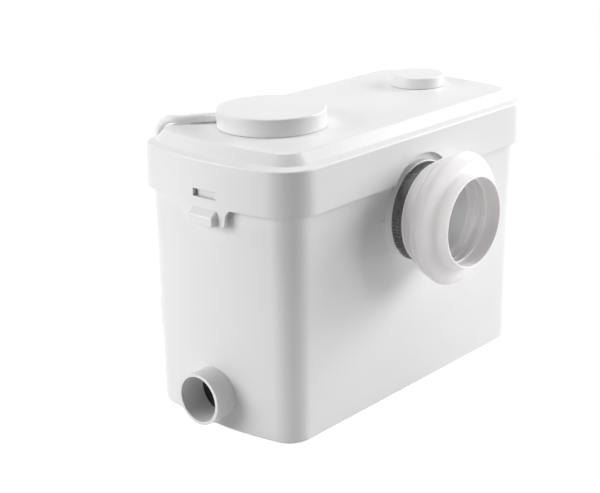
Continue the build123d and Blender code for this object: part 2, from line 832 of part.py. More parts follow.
def make_motor_housing():
    inner = housing_radius - housing_wall
    floor_top = housing_bottom + housing_floor
    body = tube(housing_radius, inner, housing_bottom, plateau_under)
    body += rod(housing_radius - housing_wall / 2, housing_bottom, floor_top)
    hub = bearing_radius + bearing_hub_wall
    body += rod(hub, housing_bottom, floor_top + bearing_width + housing_floor)
    body += tube(inner + housing_wall / 2, stator_ledge_radius, stator_bottom - stator_ledge, stator_bottom)
    rib = block(-housing_rib_depth, housing_wall / 2, -housing_rib_width / 2, housing_rib_width / 2,
                stator_bottom - pick, bracket_height)
    for copy in ring_of(housing_rib_count, inner, rib):
        body += copy
    boss = rod(boss_screw_radius, plateau_under - boss_screw_depth, plateau_under)
    hole = rod(screw_radius + running_gap, plateau_under - boss_screw_depth - overrun,
               plateau_under + overrun)
    for copy in ring_of(pillar_count, bay_screw_circle, boss, start=pillar_start_angle):
        body += copy
    for copy in ring_of(pillar_count, bay_screw_circle, hole, start=pillar_start_angle):
        body -= copy
    through = rod(screw_radius + running_gap, housing_bottom - overrun, floor_top + overrun)
    for copy in ring_of(pillar_count, pillar_circle, through, start=pillar_start_angle):
        body -= copy
    body -= rod(shaft_radius + 2 * seat_gap, housing_bottom - overrun, stator_bottom)
    body -= rod(seal_radius + seat_gap, housing_bottom - overrun, housing_bottom + seal_width)
    body -= rod(bearing_radius + running_gap, floor_top + housing_floor, stator_bottom)
    return Pos(motor_x, motor_y, 0) * body


def ball_bearing(bottom):
    """A shielded bearing: two rings with a shield set in between them."""
    third = (bearing_radius - shaft_radius) / 3
    body = tube(bearing_radius, shaft_radius + running_gap, bottom, bottom + bearing_width)
    groove = tube(bearing_radius - third, shaft_radius + third, 0, third / 4)
    body -= Pos(0, 0, bottom + bearing_width - third / 4) * groove
    return body - Pos(0, 0, bottom) * groove


def make_lower_bearing():
    return Pos(motor_x, motor_y, 0) * ball_bearing(housing_bottom + 2 * housing_floor)


def make_upper_bearing():
    return Pos(motor_x, motor_y, 0) * ball_bearing(bracket_height - bearing_width)


def make_shaft_seal():
    body = tube(seal_radius, shaft_radius + running_gap, housing_bottom, housing_bottom + seal_width)
    lip = (seal_radius + shaft_radius) / 2
    return Pos(motor_x, motor_y, 0) * (body + tube(lip, shaft_radius + running_gap,
                                             housing_bottom - seal_lip_height,
                                             housing_bottom + pick))


def make_bearing_bracket():
    radius = housing_radius - housing_wall - rest_gap
    hub = bearing_radius + bearing_hub_wall
    body = rod(radius, bracket_height, bracket_top) + rod(hub, bracket_height - bearing_width, bracket_top)
    body -= rod(bearing_radius + running_gap, bracket_height - bearing_width - overrun, bracket_height)
    wire_hole = rod(pillar_radius, bracket_height - overrun, bracket_top + overrun)
    for cut in ring_of(2, bay_radius - pillar_radius, wire_hole):
        body -= cut
    return Pos(motor_x, motor_y, 0) * body


def make_stator_core():
    body = tube(stator_radius, stator_bore, stator_bottom, stator_top)
    slot = rod(slot_radius, stator_bottom - overrun, stator_top + overrun)
    for cut in ring_of(slot_count, slot_circle, slot):
        body -= cut
    return Pos(motor_x, motor_y, 0) * body


def make_stator_windings():
    """The end turns above and below the core, joined by the bars that fill its slots."""
    ring = tube(winding_outer, winding_inner, 0, winding_height)
    ring = fillet(ring.edges().group_by(Axis.Z)[-1], winding_height / 4)
    body = Pos(0, 0, stator_top) * ring + Pos(0, 0, stator_bottom) * mirror(ring, Plane.XY)
    bar = rod(slot_radius - winding_gap, stator_bottom - pick, stator_top + pick)
    for copy in ring_of(slot_count, slot_circle, bar):
        body += copy
    return Pos(motor_x, motor_y, 0) * body


def make_rotor():
    radius = stator_bore - air_gap
    body = tube(radius, shaft_radius + running_gap, stator_bottom, stator_top)
    ring = tube(radius - air_gap, radius / 2, 0, rotor_ring_height)
    body += Pos(0, 0, stator_top) * ring
    groove = rod(rotor_bar_radius / 2, stator_bottom, stator_top)
    for cut in ring_of(rotor_bar_count, radius, groove):
        body -= cut
    return Pos(motor_x, motor_y, 0) * body


def impeller_top():
    return volute_top - volute_roof - impeller_roof_gap


def impeller_bottom():
    return impeller_top() - impeller_disc - impeller_vane_height


def make_motor_shaft():
    bottom = impeller_bottom() - nut_height
    body = rod(shaft_radius, bottom, bracket_height - rest_gap)
    return Pos(motor_x, motor_y, 0) * chamfer(body.edges(), shaft_radius / 6)


def make_impeller():
    top = impeller_top()
    disc_bottom = top - impeller_disc
    body = rod(impeller_radius, disc_bottom, top) + rod(impeller_hub, impeller_bottom(), top)
    length = impeller_radius - impeller_hub
    middle = (impeller_radius + impeller_hub) / 2
    vane = Rot(0, 0, impeller_vane_lean) * Box(length, impeller_vane_thickness, impeller_vane_height + pick)
    vane = Pos(0, 0, disc_bottom - impeller_vane_height / 2) * vane
    for copy in ring_of(impeller_vane_count, middle, vane):
        body += copy
    body = body & rod(impeller_radius, impeller_bottom(), top)
    return Pos(motor_x, motor_y, 0) * (body - rod(shaft_radius + running_gap, 0, top + overrun))


def make_impeller_nut():
    bottom = impeller_bottom() - nut_height
    nut = plate(RegularPolygon(nut_radius, 6), bottom, bottom + nut_height)
    nut -= rod(shaft_radius + running_gap, bottom - overrun, bottom + nut_height + overrun)
    return Pos(motor_x, motor_y, 0) * nut


def make_cutter_blade():
    """Two sharpened arms on a hub, low in the basket."""
    hub_bottom = basket_floor_top + cutter_step
    arm_bottom = hub_bottom + cutter_arm_step
    body = rod(impeller_hub, hub_bottom, hub_bottom + cutter_hub_height)
    half = cutter_arm_width / 2
    edge = half - cutter_arm_width * cutter_edge_share
    section = [(-half, 0), (half, 0), (edge, cutter_thickness), (-edge, cutter_thickness)]
    face = make_face(Polyline([(0, y, z) for y, z in section], close=True))
    arm = Pos(0, 0, arm_bottom) * extrude(face, cutter_radius, both=True)
    body += arm
    body = body & rod(cutter_radius, hub_bottom, hub_bottom + cutter_hub_height)
    body -= rod(shaft_radius + running_gap, 0, housing_bottom)
    return Pos(motor_x, motor_y, 0) * body


def make_housing_screws():
    copies = ring_of(pillar_count, bay_screw_circle, Pos(0, 0, plateau) * screw(screw_length),
                     start=pillar_start_angle)
    return Pos(motor_x, motor_y, 0) * Compound(children=copies)


def make_pillar_screws():
    seat = housing_bottom + housing_floor
    copies = ring_of(pillar_count, pillar_circle, Pos(0, 0, seat) * screw(screw_length),
                     start=pillar_start_angle)
    return Pos(motor_x, motor_y, 0) * Compound(children=copies)


def make_pump_bolts():
    """Four long bolts from under the suction plate up into the pillars."""
    length = basket_floor_top + bolt_reach - pump_bottom
    bolt = Pos(0, 0, pump_bottom) * Rot(180, 0, 0) * screw(length)
    copies = ring_of(pillar_count, pillar_circle, bolt, start=pillar_start_angle)
    return Pos(motor_x, motor_y, 0) * Compound(children=copies)


def make_pump_pillars():
    body = rod(pillar_radius, pillar_bottom, housing_bottom)
    body -= rod(screw_radius + running_gap, pillar_bottom - overrun, pillar_bottom + bolt_reach + rest_gap)
    body -= rod(screw_radius + running_gap, housing_bottom - screw_length, housing_bottom + overrun)
    copies = ring_of(pillar_count, pillar_circle, body, start=pillar_start_angle)
    return Pos(motor_x, motor_y, 0) * Compound(children=copies)


def bolt_holes(bottom, top):
    hole = rod(screw_radius + seat_gap, bottom - overrun, top + overrun)
    return ring_of(pillar_count, pillar_circle, hole, start=pillar_start_angle)


def make_suction_plate():
    body = rod(volute_radius, pump_bottom, volute_bottom)
    body -= rod(suction_eye, pump_bottom - overrun, volute_bottom + overrun)
    for cut in bolt_holes(pump_bottom, volute_bottom):
        body -= cut
    return Pos(motor_x, motor_y, 0) * body


def pipe_elbow(radius):
    """The volute's outlet pipe: rearwards, then up to the riser."""
    level = Pos(outlet_x, 0, outlet_low_z) * rearward(rod(radius, 0, riser_y))
    corner = Pos(outlet_x, riser_y, outlet_low_z) * Sphere(radius)
    upright = Pos(outlet_x, riser_y, 0) * rod(radius, outlet_low_z, volute_neck_top)
    return level + corner + upright


def make_volute():
    body = Pos(motor_x, motor_y, 0) * rod(volute_radius, volute_bottom, volute_top)
    body += pipe_elbow(riser_radius)
    body -= pipe_elbow(riser_bore)
    body -= Pos(outlet_x, riser_y, 0) * rod(riser_bore, outlet_low_z, volute_neck_top + overrun)
    body -= Pos(motor_x, motor_y, 0) * rod(volute_cavity, volute_bottom - overrun, volute_top - volute_roof)
    body -= Pos(motor_x, motor_y, 0) * rod(shaft_hole, volute_bottom, volute_top + overrun)
    for cut in bolt_holes(volute_bottom, volute_top):
        body -= Pos(motor_x, motor_y, 0) * cut
    return body


def basket_outline(inset):
    length = basket_right - basket_left - 2 * inset
    width = 2 * (basket_half_width - inset)
    centre = (basket_right + basket_left) / 2
    return Pos(centre, 0) * RectangleRounded(length, width, basket_corner - inset)


def spread(low, high, pitch):
    """Evenly spaced places about the middle of a stretch, at the pitch or a little more."""
    count = int((high - low) / pitch)
    step = (high - low) / count
    return [low + i * step for i in range(count + 1)]


def make_basket():
    top = volute_top + basket_height
    body = plate(basket_outline(0), volute_top, top) - plate(basket_outline(basket_wall), basket_floor_top,
                                                            top + overrun)
    body += plate(basket_outline(-basket_lip) - basket_outline(basket_wall), top - basket_wall, top)
    xs = spread(basket_left + basket_hole_margin, basket_right - basket_hole_margin, basket_hole_pitch)
    ys = spread(basket_hole_margin - basket_half_width, basket_half_width - basket_hole_margin,
                basket_hole_pitch)
    zs = spread(basket_floor_top + basket_hole_pitch / 2, top - basket_hole_pitch, basket_hole_pitch)
    cross = basket_half_width + overrun
    along = [Pos(x, 0, z) * forward(rod(basket_hole_radius, -cross, cross)) for x in xs for z in zs]
    centre = (basket_right + basket_left) / 2
    reach = (basket_right - basket_left) / 2 + overrun
    ends = [Pos(centre, y, z) * leftward(rod(basket_hole_radius, -reach, reach)) for y in ys for z in zs]
    floor_from = motor_x + volute_radius + basket_hole_radius
    floor = [Pos(x, y, 0) * rod(basket_hole_radius, volute_top - overrun, basket_floor_top + overrun)
             for x in xs for y in ys if x > floor_from]
    body -= Compound(children=along)
    body -= Compound(children=ends)
    body -= Compound(children=floor)
    body -= Pos(motor_x, motor_y, 0) * rod(suction_eye, volute_top - overrun, basket_floor_top + overrun)
    for cut in bolt_holes(volute_top, basket_floor_top):
        body -= Pos(motor_x, motor_y, 0) * cut
    return body


def at_riser(shape):
    return Pos(outlet_x, riser_y, 0) * shape


def make_riser_pipe():
    return at_riser(tube(riser_radius, riser_bore, volute_neck_top + rest_gap, riser_top))


def make_riser_coupling():
    middle = volute_neck_top
    inner = riser_radius + seat_gap
    return at_riser(tube(inner + coupling_wall, inner, middle - coupling_length / 2,
                         middle + coupling_length / 2))


def make_hose_clips():
    inner = riser_radius + 2 * seat_gap + coupling_wall
    low = volute_neck_top - coupling_length / 4 - hose_clip_width / 2
    high = low + coupling_length / 2
    clips = [tube(inner + hose_clip_thickness, inner, z, z + hose_clip_width) for z in (low, high)]
    return at_riser(Compound(children=clips))


def make_valve_body():
    body = at_riser(rod(valve_radius, valve_bottom, valve_top))
    body -= at_riser(rod(riser_radius + seat_gap, valve_bottom - overrun, riser_top))
    body -= Pos(outlet_x, riser_y + valve_flap_offset, 0) * rod(valve_seat_bore, riser_top - overrun,
                                                                valve_roof)
    body -= at_riser(rod(valve_cavity, valve_seat_top, valve_roof))
    body -= at_riser(rod(outlet_bore, valve_seat_top, valve_top + overrun))
    body -= at_riser(rod(outlet_radius + seat_gap, (valve_roof + valve_top) / 2, valve_top + overrun))
    pin_hole = Rot(0, 90, 0) * rod(valve_pin_radius + running_gap, -valve_radius, valve_radius)
    return body - Pos(outlet_x, valve_hinge_y, valve_hinge_z) * pin_hole


def make_valve_pin():
    half = valve_pin_length / 2
    return Pos(outlet_x, valve_hinge_y, valve_hinge_z) * Rot(0, 90, 0) * rod(valve_pin_radius, -half, half)


def make_valve_flap():
    low = valve_seat_top + rest_gap
    high = low + valve_flap_thickness
    middle_y = riser_y + valve_flap_offset
    disc = Pos(outlet_x, middle_y, 0) * rod(valve_flap_radius, low, high)
    half = valve_barrel_length / 2
    arm = block(outlet_x - half, outlet_x + half, valve_hinge_y, middle_y, low, high)
    barrel = Pos(outlet_x, valve_hinge_y, valve_hinge_z) * Rot(0, 90, 0) * rod(valve_barrel_radius, -half,
                                                                               half)
    bore = Rot(0, 90, 0) * rod(valve_pin_radius + running_gap, -half - overrun, half + overrun)
    return disc + arm + barrel - Pos(outlet_x, valve_hinge_y, valve_hinge_z) * bore


def outlet_pipe(radius, extra):
    bottom = (valve_roof + valve_top) / 2
    upright = at_riser(rod(radius, bottom - extra, outlet_height))
    corner = at_riser(Pos(0, 0, outlet_height) * Sphere(radius))
    level = Pos(outlet_x, 0, outlet_height) * rearward(rod(radius, riser_y, outlet_reach + extra))
    return upright + corner + level


def make_outlet_elbow():
    body = outlet_pipe(outlet_radius, 0)
    ridge = rod(outlet_radius + outlet_ridge, outlet_reach - outlet_free - outlet_ridge_width,
                outlet_reach - outlet_free)
    body += Pos(outlet_x, 0, outlet_height) * rearward(ridge)
    body -= outlet_pipe(outlet_bore, overrun)
    rims = [e for e in body.edges().filter_by(GeomType.CIRCLE)
            if abs(e.center().Y - outlet_reach) < pick and abs(e.radius - outlet_radius) < pick]
    return chamfer(rims, (outlet_radius - outlet_bore) / 3)


def make_outlet_grommet():
    y0 = tank_width / 2 - tank_wall - grommet_reach
    y1 = lid_width / 2 - lid_wall - skirt_draft - rest_gap
    body = grommet_block(0, y0, y1)
    return body - Pos(outlet_x, 0, outlet_height) * rearward(rod(outlet_radius + seat_gap, 0, lid_width))


def at_switch(shape):
    return Pos(switch_x, 0, 0) * shape


def make_pressure_tube():
    body = tube(tube_radius, tube_bore, tube_bottom, switch_bottom)
    slot = block(-tube_radius - overrun, tube_radius + overrun, -tube_bore / 3, tube_bore / 3,
                 tube_bottom - overrun, tube_bottom + tube_bore / 2)
    return at_switch(body - slot)


def make_switch_housing():
    inner = switch_radius - switch_wall
    body = rod(switch_radius, switch_bottom, plateau_under) - rod(inner, diaphragm_z,
                                                                  plateau_under + overrun)
    body -= rod(inner - diaphragm_ledge, switch_bottom + switch_floor, diaphragm_z + pick)
    return at_switch(body - rod(tube_bore, switch_bottom - overrun, diaphragm_z))


def switch_inner():
    return switch_radius - switch_wall - seat_gap


def make_diaphragm():
    body = rod(switch_inner(), diaphragm_z, diaphragm_z + diaphragm_thickness)
    fold = tube(plunger_foot_radius + 2 * clamp_ring_width, plunger_foot_radius + clamp_ring_width,
                diaphragm_z - diaphragm_thickness, diaphragm_z + pick)
    return at_switch(body + fold)


def make_clamp_ring():
    bottom = diaphragm_z + diaphragm_thickness
    return at_switch(tube(switch_inner(), switch_inner() - clamp_ring_width, bottom,
                          bottom + clamp_ring_height))


def make_switch_bridge():
    body = rod(switch_inner(), bridge_z, microswitch_z)
    return at_switch(body - rod(plunger_radius + seat_gap, bridge_z - overrun, microswitch_z + overrun))


def make_switch_plunger():
    foot = diaphragm_z + diaphragm_thickness + rest_gap
    body = rod(plunger_foot_radius, foot, foot + plunger_foot_height)
    return at_switch(body + rod(plunger_radius, foot, lever_z - rest_gap))


def lever_hinge():
    """The lever's hinge, as X and Z."""
    x = switch_x + microswitch_start + microswitch_length - lever_barrel_radius - lever_ear / 2
    return x, lever_z + lever_barrel_radius - lever_thickness


def make_microswitch():
    x0 = switch_x + microswitch_start
    x1 = x0 + microswitch_length
    half = microswitch_width / 2
    top = microswitch_z + microswitch_height
    body = block(x0, x1, -half, half, microswitch_z, top)
    hinge_x, hinge_z = lever_hinge()
    ear_top = hinge_z + lever_barrel_radius
    ear = block(hinge_x - lever_barrel_radius, x1, half - lever_ear, half, top - pick, ear_top)
    body += ear + mirror(ear, Plane.XZ)
    hole = Pos(hinge_x, 0, hinge_z) * forward(rod(lever_pin_radius + running_gap, -half - overrun,
                                                  half + overrun))
    return body - hole


def make_lever_pin():
    hinge_x, hinge_z = lever_hinge()
    half = microswitch_width / 2
    return Pos(hinge_x, 0, hinge_z) * forward(rod(lever_pin_radius, -half, half))


def make_switch_lever():
    hinge_x, hinge_z = lever_hinge()
    half = lever_width / 2
    strip = block(switch_x - lever_overhang, hinge_x, -half, half, lever_z, lever_z + lever_thickness)
    strip += Pos(hinge_x, 0, hinge_z) * forward(rod(lever_barrel_radius, -half, half))
    return strip - Pos(hinge_x, 0, hinge_z) * forward(rod(lever_pin_radius + running_gap, -half - overrun,
                                                         half + overrun))


def terminal_places():
    """The middles of the terminal block's clamping screws, along X."""
    pitch = terminal_length / terminal_count
    first = motor_x - terminal_length / 2 + pitch / 2
    return [first + i * pitch for i in range(terminal_count)]


def make_terminal_block():
    x0 = motor_x - terminal_length / 2
    top = bracket_top + terminal_height
    y0 = terminal_y - terminal_width / 2
    body = block(x0, x0 + terminal_length, y0, y0 + terminal_width, bracket_top, top)
    for x in terminal_places():
        body -= Pos(x, terminal_y, 0) * rod(terminal_bore, top - terminal_screw_height - terminal_screw_drop,
                                            top + overrun)
        body -= Pos(x, terminal_y, bracket_top + terminal_height / 3) * forward(
            rod(terminal_bore - seat_gap, -terminal_width, terminal_width))
    return body


def make_terminal_screws():
    top = bracket_top + terminal_height - terminal_screw_drop
    one = rod(terminal_screw_radius, top - terminal_screw_height, top)
    one -= block(-terminal_bore, terminal_bore, -screw_drive_width / 2, screw_drive_width / 2,
                 top - screw_drive_depth, top + overrun)
    return Compound(children=[Pos(x, terminal_y, 0) * one for x in terminal_places()])


def capacitor_axis_z():
    return bracket_top + capacitor_radius


def make_run_capacitor():
    half = capacitor_length / 2
    body = leftward(rod(capacitor_radius, -half, half))
    body = fillet(body.edges().filter_by(GeomType.CIRCLE), capacitor_radius / 6)
    return Pos(motor_x, capacitor_y, capacitor_axis_z()) * body


def make_capacitor_clip():
    """A steel strap over the capacitor, with a foot on each side."""
    inner = capacitor_radius + seat_gap
    outer = inner + clip_thickness
    half = clip_width / 2
    strap = leftward(rod(outer, -half, half)) + block(-half, half, -outer, outer, -capacitor_radius, 0)
    strap -= leftward(rod(inner, -half - overrun, half + overrun))
    strap -= block(-half - overrun, half + overrun, -inner, inner, -capacitor_radius - overrun, 0)
    foot = block(-half, half, inner, inner + clip_foot, -capacitor_radius, clip_thickness - capacitor_radius)
    return Pos(motor_x, capacitor_y, capacitor_axis_z()) * (strap + foot)


def make_strain_relief():
    """The rubber gland: a flange inside the collar, a neck in its slot, and a ribbed taper outside."""
    flange_end = -gland_neck_length - 2 * seat_gap
    points = [(0, flange_end - gland_flange_length), (gland_flange, flange_end - gland_flange_length),
              (gland_flange, flange_end), (gland_neck, flange_end), (gland_neck, gland_body_start),
              (gland_radius, gland_body_start)]
    start = cap_wall + rest_gap
    step = (gland_length - start) / (2 * gland_rib_count)
    slope = (gland_radius - gland_tip_radius) / (gland_length - start)
    for i in range(gland_rib_count):
        z = start + 2 * i * step
        r = gland_radius - slope * (z - start)
        points += [(r, z), (r - gland_rib_depth, z), (r - gland_rib_depth, z + step / 2), (r, z + step / 2)]
    points += [(gland_tip_radius, gland_length), (0, gland_length)]
    return gland_frame() * turned(points)


def corner_radii(points):
    """The radius at each corner of a route: as large as its two runs allow."""
    vectors = [Vector(*p) for p in points]
    radii = []
    for before, here, after in zip(vectors, vectors[1:], vectors[2:]):
        turn = (here - before).get_angle(after - here)
        shorter = min((here - before).length, (after - here).length)
        radii.append(cord_bend_share * shorter / tan(radians(turn) / 2))
    return radii


def cord_tube(name, points, radius=cord_radius):
    """A round tube along straight runs joined by tangent arcs."""
    radii = corner_radii(points)
    path = FilletPolyline(*points, radius=radii)
    start = Vector(*points[0])
    heading = (Vector(*points[1]) - start).normalized()
    section = Plane(origin=start, z_dir=heading) * Circle(radius)
    solid = sweep(section, path=path)
    expected = path.length * pi * radius**2
    print(name, "length", round(path.length, 1), "radii", [round(r, 1) for r in radii],
          "volume share", round(solid.volume / expected, 4))
    return solid


def gland_point(distance):
    return (gland_x + gland_heading[0] * distance, gland_y + gland_heading[1] * distance, gland_z)


def make_cord_run():
    exit_points = [gland_point(gland_length), gland_point(gland_length + cord_exit_length)]
    end = (coil_x - cord_diameter, coil_y - coil_radius, coil_low_z)
    return cord_tube("cord_run", exit_points + cord_route + [end])


def coil_arcs():
    """Half turns that spiral in on the lower layer, climb, and spiral out on the upper one."""
    step = coil_pitch / 2
    chords = [(-step, 0.0)] * coil_half_turns_in + [(0.0, coil_pitch)] + [(step, 0.0)] * coil_half_turns_out
    y = coil_y - coil_radius
    z = coil_low_z
    side = 1
    radius = coil_radius
    arcs = [Line((coil_x - cord_diameter, y, z), (coil_x, y, z))]
    for growth, climb in chords:
        chord = 2 * radius + (growth if growth else -step)
        end_y = y + side * chord
        half = sqrt(chord**2 + climb**2) / 2
        middle = (coil_x + side * half, (y + end_y) / 2, z + climb / 2)
        arcs.append(ThreePointArc((coil_x, y, z), middle, (coil_x, end_y, z + climb)))
        y = end_y
        z += climb
        radius += growth
        side = -side
    arcs.append(Line((coil_x, y, z), (coil_x + side * cord_diameter, y, z)))
    return arcs


def make_cord_coil():
    arcs = coil_arcs()
    path = Wire(arcs)
    section = Plane(origin=arcs[0] @ 0, z_dir=arcs[0] % 0) * Circle(cord_radius)
    solid = sweep(section, path=path)
    expected = path.length * pi * cord_radius**2
    print("cord_coil length", round(path.length, 1), "volume share", round(solid.volume / expected, 4),
          "least gap", round(least_gap(arcs), 3), "ends at", [round(x, 2) for x in tuple(arcs[-1] @ 1)])
    return solid


def least_gap(arcs):
    """The smallest distance between stretches of the coil's tube that aren't neighbours along it."""
    samples = []
    run = 0.0
    for arc in arcs:
        count = max(2, int(arc.length / cord_radius))
        samples += [(run + arc.length * i / count, arc @ (i / count)) for i in range(count)]
        run += arc.length
    closest = min((a[1] - b[1]).length for i, a in enumerate(samples) for b in samples[i + 1:]
                  if b[0] - a[0] > 3 * cord_diameter)
    return closest - cord_diameter


def make_cord_tail():
    x, y, z = tuple(coil_arcs()[-1] @ 1)
    return cord_tube("cord_tail", [(x, y, z), (x + tail_straight, y, z)] + tail_route)


def make_inner_lead():
    start = -gland_neck_length - 2 * seat_gap - gland_flange_length
    route = [(motor_x + x, motor_y + y, z) for x, y, z in lead_route]
    return cord_tube("inner_lead", [gland_point(start), gland_point(start - lead_straight)] + route)


def make_lead_cores():
    """The three cores from the stripped end of the sheath into the terminal block."""
    x, y, z = lead_route[-1]
    x += motor_x
    y += motor_y
    entry_z = bracket_top + terminal_height / 3
    entry_y = terminal_y + terminal_width / 2
    cores = []
    for i, place in enumerate(terminal_places()[1:4]):
        start_x = x + (i - 1) * lead_core_spacing
        (y1, z1), (y2, z2), (y3, z3) = lead_core_route
        points = [(start_x, y, z), (start_x, motor_y + y1, z1), (place, motor_y + y2, z2),
                  (place, motor_y + y3, z3),
                  (place, entry_y, entry_z), (place, entry_y - lead_core_spacing, entry_z)]
        cores.append(cord_tube("lead_core", points, lead_core_radius))
    return Compound(children=cores)


def plug_frame():
    """Moves a shape made about +Z to the end of the cord's tail."""
    before = Vector(*tail_route[-2])
    end = Vector(*tail_route[-1])
    heading = end - before
    return Pos(end.X, end.Y, end.Z) * Rot(0, 0, degrees(atan2(heading.Y, heading.X))) * Rot(0, 90, 0)


def make_plug():
    """A flat moulded plug with a waisted neck."""
    neck = turned([(0, 0), (cord_radius, 0), (plug_neck_radius, plug_neck_length), (0, plug_neck_length)])
    back = Rectangle(2 * plug_half_height, plug_width * plug_nose_share)
    front = Rectangle(2 * plug_half_height, plug_width)
    neck_end = plug_neck_length - pick
    body = loft([Pos(0, 0, neck_end) * back, Pos(0, 0, neck_end + plug_length / 3) * front], ruled=True)
    body += Pos(0, 0, neck_end + plug_length / 3) * extrude(front, plug_length * 2 / 3)
    body = fillet(body.edges().filter_by(Axis.Z), plug_edge_radius)
    return plug_frame() * (neck + body)


def make_plug_pins():
    base = plug_neck_length + plug_length - pick
    pin = rod(plug_pin_radius, base, base + plug_pin_length)
    pin = fillet(pin.edges().group_by(Axis.Z)[-1], plug_pin_radius / 2)
    pins = [Pos(0, side * plug_pin_spacing / 2, 0) * pin for side in (-1, 1)]
    return plug_frame() * Compound(children=pins)


makers = {
    "tank": make_tank,
    "lid": make_lid,
    "lid_seal": make_lid_seal,
    "wc_sleeve": make_wc_sleeve,
    "wc_clamp_band": make_wc_clamp_band,
    "clamp_screw": make_clamp_screw,
    "side_flap": make_side_flap,
    "side_flap_pin": make_side_flap_pin,
    "motor_cap": make_motor_cap,
    "vent_cap": make_vent_cap,
    "vent_filter": make_vent_filter,
    "motor_housing": make_motor_housing,
    "upper_bearing": make_upper_bearing,
    "lower_bearing": make_lower_bearing,
    "shaft_seal": make_shaft_seal,
    "bearing_bracket": make_bearing_bracket,
    "stator_core": make_stator_core,
    "stator_windings": make_stator_windings,
    "rotor": make_rotor,
    "motor_shaft": make_motor_shaft,
    "impeller": make_impeller,
    "impeller_nut": make_impeller_nut,
    "cutter_blade": make_cutter_blade,
    "housing_screws": make_housing_screws,
    "pillar_screws": make_pillar_screws,
    "pump_bolts": make_pump_bolts,
    "pump_pillars": make_pump_pillars,
    "suction_plate": make_suction_plate,
    "volute": make_volute,
    "basket": make_basket,
    "riser_pipe": make_riser_pipe,
    "riser_coupling": make_riser_coupling,
    "hose_clips": make_hose_clips,
    "valve_body": make_valve_body,
    "valve_pin": make_valve_pin,
    "valve_flap": make_valve_flap,
    "outlet_elbow": make_outlet_elbow,
    "outlet_grommet": make_outlet_grommet,
    "pressure_tube": make_pressure_tube,
    "switch_housing": make_switch_housing,
    "diaphragm": make_diaphragm,
    "clamp_ring": make_clamp_ring,
    "switch_bridge": make_switch_bridge,
    "switch_plunger": make_switch_plunger,
    "microswitch": make_microswitch,
    "lever_pin": make_lever_pin,
    "switch_lever": make_switch_lever,
    "terminal_block": make_terminal_block,
    "terminal_screws": make_terminal_screws,
    "run_capacitor": make_run_capacitor,
    "capacitor_clip": make_capacitor_clip,
    "strain_relief": make_strain_relief,
    "inner_lead": make_inner_lead,
    "lead_cores": make_lead_cores,
    "cord_run": make_cord_run,
    "cord_coil": make_cord_coil,
    "cord_tail": make_cord_tail,
    "plug": make_plug,
    "plug_pins": make_plug_pins,
}

os.makedirs("parts", exist_ok=True)
for node, make in makers.items():
    export_step(make(), f"parts/{node}.step")
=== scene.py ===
import json
from math import atan2, cos, pi, radians, sin

import bpy
from mathutils import Matrix, Vector


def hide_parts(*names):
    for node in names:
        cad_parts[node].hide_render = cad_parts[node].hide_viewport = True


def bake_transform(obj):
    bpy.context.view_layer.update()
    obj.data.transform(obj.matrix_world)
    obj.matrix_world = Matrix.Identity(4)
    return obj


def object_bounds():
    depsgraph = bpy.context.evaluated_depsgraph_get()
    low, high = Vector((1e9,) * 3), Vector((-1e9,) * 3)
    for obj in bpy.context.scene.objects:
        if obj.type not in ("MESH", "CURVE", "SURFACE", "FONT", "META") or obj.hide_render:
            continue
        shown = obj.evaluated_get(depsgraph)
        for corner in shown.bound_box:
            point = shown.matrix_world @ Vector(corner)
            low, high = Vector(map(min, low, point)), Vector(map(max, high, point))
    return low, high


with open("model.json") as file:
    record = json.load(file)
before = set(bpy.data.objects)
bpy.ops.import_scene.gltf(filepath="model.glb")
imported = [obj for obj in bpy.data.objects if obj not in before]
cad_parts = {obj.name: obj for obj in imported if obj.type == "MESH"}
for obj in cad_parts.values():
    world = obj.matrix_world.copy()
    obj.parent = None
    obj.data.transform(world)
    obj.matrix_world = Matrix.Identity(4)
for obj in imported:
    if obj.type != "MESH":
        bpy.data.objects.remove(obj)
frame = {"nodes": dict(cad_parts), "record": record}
cad_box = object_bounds()

# Lengths are in metres.
camera_place = Vector((-0.9345, -0.7667, 0.5285))
camera_forward = Vector((0.71176, 0.62441, -0.32173)).normalized()
camera_roll = radians(-0.755)
camera_near = 0.05
camera_lens_mm = 82.14
sensor_width_mm = 36.0

cord_diameter = 0.0068
cord_exit = (-0.130548, 0.062464, 0.2550)
cord_second = (-0.138028, 0.069104, 0.2550)
cord_route = [
    (-0.1408, 0.0796, 0.2540), (-0.1380, 0.0928, 0.2458), (-0.1350, 0.1006, 0.2260),
    (-0.1344, 0.1017, 0.1840), (-0.1342, 0.1020, 0.1360), (-0.1336, 0.1028, 0.0880),
    (-0.1308, 0.1058, 0.0470), (-0.1200, 0.1124, 0.0170), (-0.0970, 0.1176, 0.0050),
    (-0.0660, 0.1134, 0.0038), (-0.0340, 0.1048, 0.0037), (-0.0120, 0.1030, 0.0037),
    (0.0092, 0.1030, 0.0037),
]
coil_start = Vector((0.0160, 0.1030, 0.0037))
coil_first_radius = 0.0465
coil_step = 0.0037
coil_rise = 0.0074
coil_halves_in = 4
coil_halves_out = 3
coil_points_per_half = 7
cord_tail = [
    (0.0368, 0.1030, 0.0111), (0.0540, 0.1014, 0.0104), (0.0710, 0.1036, 0.0095), (0.0870, 0.1086, 0.0095),
]

floor_reach = 0.8
floor_drop = 0.0002
lamp_target = Vector((0, 0, 0.13))
snoot_radius = 0.04
mouth_middle = (0.0, -0.128, 0.168)

# Noise up to noise_low is all dark and from noise_high on all light, and no colour is paler than palest.
noise_low = 0.3
noise_high = 0.7
palest = 0.95


